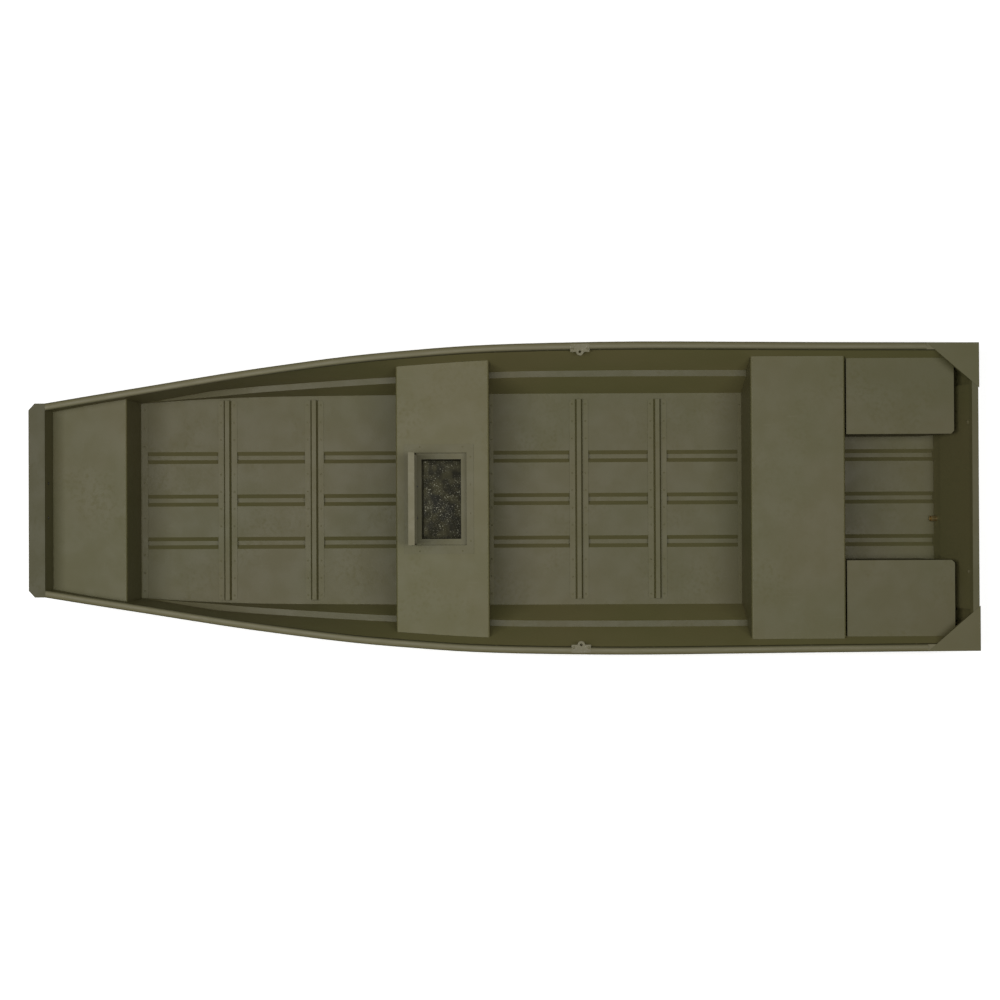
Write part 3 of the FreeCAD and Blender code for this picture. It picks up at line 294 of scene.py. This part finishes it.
FINISHES = {
    "gunwale_port": PAINTED_LIGHT_RAIL_PAINT, "gunwale_starboard": PAINTED_LIGHT_RAIL_PAINT,
    "livewell_lid": PAINTED_LIGHT_RAIL_PAINT,
    "livewell_liner": LIVEWELL, "oarlock_socket_port": FITTING,
    "oarlock_socket_starboard": FITTING, "bow_handle": FITTING, "drain_tube": BRASS,
    "livewell_hinge_fixed": FITTING, "livewell_hinge_leaf": FITTING,
    "hull_bottom": SHADED_FLOOR_PAINT, "side_panel_port": PAINTED_LIGHT_SIDE_PAINT,
    "side_panel_starboard": PAINTED_LIGHT_SIDE_PAINT, "bow_cap": SHADED_BOW_CAP_PAINT, "transom_cap": SHADED_CAP_PAINT,
    "middle_bench": LIT_BENCH_PAINT,
    "stern_box_port": SHADED_FLOOR_PAINT, "stern_box_starboard": SHADED_FLOOR_PAINT,
}
EDGE_ROUNDS = {"oarlock_socket_port": 1.4, "oarlock_socket_starboard": 1.4,
               "gunwale_port": 1.0, "gunwale_starboard": 1.0, "transom_board": 2.0,
               "livewell_liner": 1.2, "livewell_lid": 1.0, "bow_cap": 1.0}
SHEET_EDGE = 0.5


def dress_cad():
    """Every CAD piece gets its finish and eased edges."""
    for name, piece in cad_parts.items():
        piece.data.materials.clear()
        piece.data.materials.append(FINISHES.get(name, OLIVE_PAINT))
        edge = piece.modifiers.new("eased_edges", "BEVEL")
        edge.width = EDGE_ROUNDS.get(name, SHEET_EDGE) * MM
        edge.segments = 2
        edge.limit_method = "ANGLE"
        edge.angle_limit = math.radians(35)
        edge.harden_normals = True
        edge.use_clamp_overlap = True


# ---------------------------------------------------------------- finding surfaces

skins = {}


def skin_of(node):
    if node not in skins:
        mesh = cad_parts[node].data
        skins[node] = BVHTree.FromPolygons([corner.co for corner in mesh.vertices],
                                           [face.vertices for face in mesh.polygons])
    return skins[node]


def touch(node, start, direction):
    """Where a line from start first meets a CAD piece, and the surface's normal there."""
    point, normal, _, _ = skin_of(node).ray_cast(Vector(start), direction)
    if point is None:
        return None
    return point, (normal if normal.dot(direction) < 0 else -normal)


def spread(low, high, pitch):
    """Even places between two ends, about a pitch apart."""
    count = max(1, round((high - low) / pitch))
    return [low + (high - low) * i / count for i in range(count + 1)]


# ---------------------------------------------------------------- small hardware

def new_piece(name, points, faces, material, body="hull", slot="hull_paint", smooth=True):
    mesh = bpy.data.meshes.new(name)
    mesh.from_pydata(points, [], faces)
    mesh.validate()
    for face in mesh.polygons:
        face.use_smooth = smooth
    piece = bpy.data.objects.new(name, mesh)
    bpy.context.scene.collection.objects.link(piece)
    mesh.materials.append(material)
    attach(piece, body)
    return piece


def turned(spots, profile, sides=12):
    """The same turned shape at each (point, normal): profile is (radius, height) from its foot."""
    points, faces = [], []
    for point, normal in spots:
        turn = normal.to_track_quat("Z", "Y").to_matrix()
        start = len(points)
        for radius, height in profile:
            for i in range(sides):
                angle = 2 * math.pi * i / sides
                around = Vector((radius * math.cos(angle), radius * math.sin(angle), height))
                points.append(point + turn @ around)
        for ring in range(len(profile) - 1):
            for i in range(sides):
                j = (i + 1) % sides
                a, b = start + ring * sides, start + (ring + 1) * sides
                faces.append((a + i, a + j, b + j, b + i))
        last = start + (len(profile) - 1) * sides
        faces.append(tuple(last + i for i in range(sides)))
    return points, faces


def dome(radius, height, sink=0.6):
    """Profile of a rivet's pan head, from just under the sheet to its crown."""
    return [(radius * MM, -sink * MM), (radius * MM, 0.15 * height * MM),
            (0.93 * radius * MM, 0.55 * height * MM), (0.68 * radius * MM, 0.88 * height * MM),
            (0.3 * radius * MM, height * MM)]


def rivets(name, spots, radius=4.8, height=1.9, material=None, **rest):
    points, faces = turned([spot for spot in spots if spot], dome(radius, height))
    return new_piece(name, points, faces, material or OLIVE_PAINT, **rest)


def bolts(name, spots, radius=6.5, height=4.5, washer=9.5, material=None, **rest):
    """Hexagon heads with a chamfered crown, each on a round washer."""
    spots = [spot for spot in spots if spot]
    disc = [(washer * MM, -0.4 * MM), (washer * MM, 1.1 * MM), ((washer - 0.5) * MM, 1.5 * MM),
            (radius * 0.8 * MM, 1.5 * MM)]
    head = [(radius * MM, 1.2 * MM), (radius * MM, (height - 0.6) * MM),
            (radius * 0.86 * MM, height * MM), (radius * 0.4 * MM, height * MM)]
    points, faces = turned(spots, disc, 20)
    more, more_faces = turned(spots, head, 6)
    faces += [tuple(len(points) + i for i in face) for face in more_faces]
    return new_piece(name, points + more, faces, material or FITTING, smooth=False, **rest)


def bead(name, path, radius=2.6, pitch=7.0, material=None, **rest):
    """A weld laid along a path of (point, normal), with the ripples of its puddles."""
    points, faces = [], []
    sides = 8
    steps = []
    for (a, normal_a), (b, normal_b) in zip(path, path[1:]):
        count = max(1, round((b - a).length / (pitch * MM / 4)))
        steps += [(a.lerp(b, i / count), normal_a.lerp(normal_b, i / count).normalized(),
                   (b - a).normalized()) for i in range(count)]
    random.seed(len(steps))
    travelled = 0.0
    before = steps[0][0]
    for point, normal, along in steps:
        travelled += (point - before).length
        before = point
        swell = 1 + 0.16 * math.sin(2 * math.pi * travelled / (pitch * MM)) + random.uniform(-.05, .05)
        across = normal.cross(along).normalized()
        for i in range(sides):
            angle = 2 * math.pi * i / sides
            points.append(point + across * (1.35 * radius * MM * swell * math.cos(angle))
                          + normal * (0.62 * radius * MM * swell * math.sin(angle)))
    for ring in range(len(steps) - 1):
        for i in range(sides):
            j = (i + 1) % sides
            faces.append((ring * sides + i, ring * sides + j,
                          (ring + 1) * sides + j, (ring + 1) * sides + i))
    faces.append(tuple(range(sides)))
    faces.append(tuple((len(steps) - 1) * sides + i for i in range(sides)))
    return new_piece(name, points, faces, material or OLIVE_PAINT, **rest)


# ---------------------------------------------------------------- where things are

HULL_LOW, HULL_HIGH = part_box("hull_bottom")
BENCH_LOW, BENCH_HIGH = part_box("middle_bench")
REAR_LOW, REAR_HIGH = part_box("rear_bench")
DECK_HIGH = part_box("bow_deck")[1]
LINER_LOW, LINER_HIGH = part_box("livewell_liner")
BOX_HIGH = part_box("stern_box_port")[1]
CAP_LOW, CAP_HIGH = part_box("bow_cap")
STRAKES = (-0.215, 0, 0.215)
STRAKE_ROOM = 0.038
FLOOR_HALF = 0.475


def clear_of_strakes(x):
    return all(abs(x - strake) > STRAKE_ROOM for strake in STRAKES)


def floor_row(node, y, half=FLOOR_HALF, pitch=0.088):
    """Rivets down through a flange on the floor, missing the pressed strakes."""
    places = [x for x in spread(-half, half, pitch) if clear_of_strakes(x)]
    return [touch(node, (x, y, 0.12), DOWN) for x in places]


def floor_rivets():
    foot = 0.010
    rivets("bulkhead_rivets", floor_row("bow_deck", DECK_HIGH.y - 0.016, 0.455))
    rivets("middle_bench_rivets", floor_row("middle_bench", BENCH_LOW.y + foot)
           + floor_row("middle_bench", BENCH_HIGH.y - foot))
    rivets("rear_bench_rivets", floor_row("rear_bench", REAR_LOW.y + foot)
           + floor_row("rear_bench", REAR_HIGH.y - 0.0035, 0.28), radius=3.0, height=1.4)
    for number in range(1, 5):
        node = f"floor_rib_{number}"
        low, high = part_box(node)
        inset = 0.014
        rivets(f"floor_rib_{number}_rivets",
               floor_row(node, low.y + inset, 0.48) + floor_row(node, high.y - inset, 0.48),
               radius=4.2, height=1.6)


def both_sides(spots):
    """The same spots, and their mirror images to starboard."""
    spots = [spot for spot in spots if spot]
    flip = Vector((-1, 1, 1))
    return spots + [(point * flip, normal * flip) for point, normal in spots]


def underside(y, x=0.11):
    return touch("hull_bottom", (x, y, -0.2), UP)[0].z


RAIL_WIDTH = 0.034


def hull_rivets():
    """Rows along the chines, the rails, the bow plate and the transom's edge."""
    chine = [touch("hull_bottom", (1, y, underside(y) + 0.014), STARBOARD)
             for y in spread(HULL_LOW.y + 0.03, HULL_HIGH.y - 0.06, 0.048)]
    rivets("chine_rivets", both_sides(chine), radius=4.4, height=1.7)
    rail_low, rail_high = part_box("gunwale_port")
    inner = []
    for y in spread(rail_low.y + 0.12, rail_high.y - 0.30, 0.26):
        top = touch("gunwale_port", (rail_edge(y) - RAIL_WIDTH / 2, y, 1), DOWN)[0].z
        inner.append(touch("gunwale_port", (0, y, top - 0.009), PORT))
    rivets("gunwale_rivets", both_sides(inner), radius=4.0, height=1.6, material=PAINTED_LIGHT_RAIL_PAINT)
    skin_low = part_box("transom_skin")[0]
    foot = [touch("transom_skin", (x, 3, skin_low.z + 0.036), FORWARD)
            for x in spread(-0.50, 0.50, 0.05) if clear_of_strakes(x)]
    edge = []
    for z in spread(0.07, 0.385, 0.045):
        aft = touch("transom_skin", (0.3, 3, z), FORWARD)[0].y
        side = touch("side_panel_port", (1, aft - 0.02, z), STARBOARD)
        edge.append(touch("transom_skin", (side[0].x - 0.016, 3, z), FORWARD))
    rivets("transom_rivets", foot + both_sides(edge), radius=4.4, height=1.7)
    plate = [touch("bow_plate", (x, -3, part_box("bow_plate")[0].z + 0.014), AFT)
             for x in spread(-0.40, 0.40, 0.05)]
    rivets("bow_plate_rivets", plate, radius=4.4, height=1.7)
    front = [touch("bow_cap", (x, -3, CAP_LOW.z + 0.011), AFT) for x in spread(-0.38, 0.38, 0.19)]
    rivets("bow_cap_rivets", front, radius=4.0, height=1.6, material=PAINTED_LIGHT_RAIL_PAINT)


def rail_edge(y):
    """Outer edge of the port rail at a place along the boat."""
    for z in (0.405, 0.415, 0.425, 0.435, 0.445, 0.455, 0.47, 0.485, 0.50, 0.515, 0.53):
        found = touch("gunwale_port", (1, y, z), STARBOARD)
        if found and found[1].x > 0.8:
            return found[0].x
    return 0.7


def gunwale_crowns():
    """The rounded top of each extruded rail, from the bow cap to the corner gusset."""
    width, rise, across = RAIL_WIDTH, 0.0038, 10
    start, end = CAP_HIGH.y + 0.001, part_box("corner_gusset_port")[0].y - 0.001
    for side, flip in (("port", 1), ("starboard", -1)):
        points, faces = [], []
        stations = spread(start, end, 0.05)
        for y in stations:
            outer = rail_edge(y)
            top = touch("gunwale_port", (outer - width / 2, y, 1), DOWN)[0].z
            for i in range(across + 1):
                u = i / across
                points.append((flip * (outer - width * u), y,
                               top + rise * (1 - (2 * u - 1) ** 2) + 0.0001))
        for row in range(len(stations) - 1):
            for i in range(across):
                a, b = row * (across + 1) + i, (row + 1) * (across + 1) + i
                faces.append((a, a + 1, b + 1, b) if flip > 0 else (a, b, b + 1, a + 1))
        new_piece(f"gunwale_crown_{side}", points, faces, PAINTED_LIGHT_CROWN_PAINT)


def stern_hardware():
    behind = BOX_HIGH.y + 0.02
    marks = []
    for x in (0.340, 0.515):
        for z in (BOX_HIGH.z - 0.014, BOX_HIGH.z - 0.16):
            marks.append(touch("stern_box_port", (x, behind, z), FORWARD))
    rivets("stern_box_rivets", both_sides(marks), radius=4.2, height=2.4, material=FITTING)
    inside = [touch("transom_board", (0.362, 1.9, 0.392), AFT)]
    bolts("transom_bolts", both_sides(inside), radius=6.0, height=4.0, washer=9.0)
    outside = [touch("transom_skin", (0.362, 3, 0.386), FORWARD),
               touch("transom_skin", (0.362, 3, 0.16), FORWARD)]
    bolts("transom_bolt_heads", both_sides(outside), radius=6.0, height=3.4, washer=9.0)


def bow_hardware():
    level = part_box("bow_handle")[1].z - 0.014
    spots = [touch("bow_inner_plate", (0.0825, -1.9, level), FORWARD)]
    bolts("bow_handle_bolts", both_sides(spots), radius=5.0, height=4.0, washer=7.5,
          material=DARK_STEEL)


def oarlock_hardware():
    low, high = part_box("oarlock_socket_port")
    middle = (low.y + high.y) / 2
    spots = [touch("oarlock_socket_port", (low.x + 0.031, middle + along, 1), DOWN)
             for along in (-0.036, 0.036)]
    rivets("oarlock_rivets", both_sides(spots), radius=6.2, height=3.0, material=FITTING,
           slot="hardware")


# The livewell's flange on the bench, and how far inside it the seat's screws stand.
FLANGE = 0.034
SCREW_INSET = 0.028


def livewell_hardware():
    seat = LINER_HIGH.z - SEAT_DEPTH
    spots = [touch("livewell_liner", (x, y, 1), DOWN) for x, y in
             ((0.253, LINER_HIGH.y - 0.054), (0.253, LINER_LOW.y + 0.077),
              (0.204, LINER_HIGH.y - 0.015), (0.07, LINER_HIGH.y - 0.015))]
    rivets("livewell_flange_rivets", both_sides(spots), radius=3.6, height=1.5)
    screws = [touch("livewell_liner", (x, LINER_LOW.y + FLANGE + SCREW_INSET, seat + 0.02), DOWN)
              for x in (-0.062, 0.092)]
    points, faces = turned([spot for spot in screws if spot],
                           [(0.0052, -0.0004), (0.0052, 0.0006), (0.0040, 0.0008), (0.0030, 0.0001)])
    new_piece("livewell_seat_screws", points, faces, DARK_STEEL, slot="hardware")
    above_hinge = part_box("livewell_hinge_leaf")[1].z + 0.01
    stays = [touch("livewell_lid", (x, 1, above_hinge), FORWARD)
             for x in spread(-0.18, 0.18, 0.072)]
    rivets("lid_hinge_rivets", stays, radius=3.2, height=1.2, body="lid", material=FITTING,
           slot="hardware")
    latch = touch("middle_bench", (LINER_HIGH.x - 0.049, LINER_LOW.y + 0.010, 1), DOWN)
    points, faces = turned([latch] if latch else [],
                           [(0.006, -0.0004), (0.006, 0.0012), (0.0045, 0.002), (0.0015, 0.002)])
    new_piece("lid_stay_screw", points, faces, DARK_STEEL, slot="hardware")


def hull_welds():
    """Beads where the transom and the bow plate are closed by welding."""
    corner = []
    for z in spread(0.045, 0.40, 0.02):
        aft_edge = touch("transom_skin", (0.3, 3, z), FORWARD)[0].y - 0.0035
        found = touch("side_panel_port", (1, aft_edge - 0.003, z), STARBOARD)
        if found:
            corner.append((Vector((found[0].x + 0.0002, aft_edge, z)), found[1]))
    for side, flip in (("port", 1), ("starboard", -1)):
        mirror = Vector((flip, 1, 1))
        bead(f"transom_weld_{side}", [(point * mirror, normal * mirror) for point, normal in corner])
    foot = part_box("bow_plate")[0].z + 0.0015
    seam = [touch("bow_plate", (x, -3, foot), AFT) for x in spread(-0.42, 0.42, 0.06)]
    bead("bow_seam_weld", [spot for spot in seam if spot], radius=2.2)


dress_cad()
floor_rivets()
hull_rivets()
gunwale_crowns()
stern_hardware()
bow_hardware()
oarlock_hardware()
livewell_hardware()
hull_welds()


# ---------------------------------------------------------------- studio

def studio():
    size = 30.0
    mesh = bpy.data.meshes.new("studio_floor")
    mesh.from_pydata([(-size, -size, 0), (size, -size, 0), (size, size, 0), (-size, size, 0)],
                     [], [(0, 1, 2, 3)])
    mesh.materials.append(studio_floor())
    ground = bpy.data.objects.new("studio_floor", mesh)
    bpy.context.scene.collection.objects.link(ground)
    lights = (("forward_softbox", (0.0, -2.1, 6.4), (0, 1.6, 0), (4.5, 1.7), 238),
              ("aft_softbox", (0.0, 2.3, 7.5), (0, 0.4, 0), (4.5, 1.8), 212))
    for name, spot, target, (length, width), power in lights:
        lamp = bpy.data.lights.new(name, "AREA")
        lamp.shape = "RECTANGLE"
        lamp.size, lamp.size_y = width, length
        lamp.energy = power
        box = bpy.data.objects.new(name, lamp)
        box.location = spot
        box.rotation_euler = (Vector(target) - Vector(spot)).to_track_quat("-Z", "Y").to_euler()
        box.visible_camera = False
        bpy.context.scene.collection.objects.link(box)
    world = bpy.data.worlds.new("studio_air")
    world.use_nodes = True
    air = world.node_tree.nodes["Background"]
    air.inputs["Color"].default_value = (1, 1, 1, 1)
    air.inputs["Strength"].default_value = 0.065
    bpy.context.scene.world = world
    bpy.context.scene.view_settings.view_transform = "Standard"


def camera():
    """Straight down from about nine metres, bow to the left."""
    lens = bpy.data.cameras.new("overhead_camera")
    lens.sensor_width = 36.0
    lens.lens = 64.33
    lens.clip_end = 100
    eye = bpy.data.objects.new("overhead_camera", lens)
    roll = 0.0045
    eye_place, rail_level = Vector((0.0650, -0.0350, 9.0503)), Vector((0.0068, -0.0350, 0.45))
    back = (eye_place - rail_level).normalized()
    up = back.cross(Vector((roll, 1, 0))).normalized()
    right = up.cross(back)
    turn = Matrix((right, up, back)).transposed().to_4x4()
    eye.matrix_world = Matrix.Translation(eye_place) @ turn
    bpy.context.scene.collection.objects.link(eye)
    bpy.context.scene.camera = eye


studio()
camera()
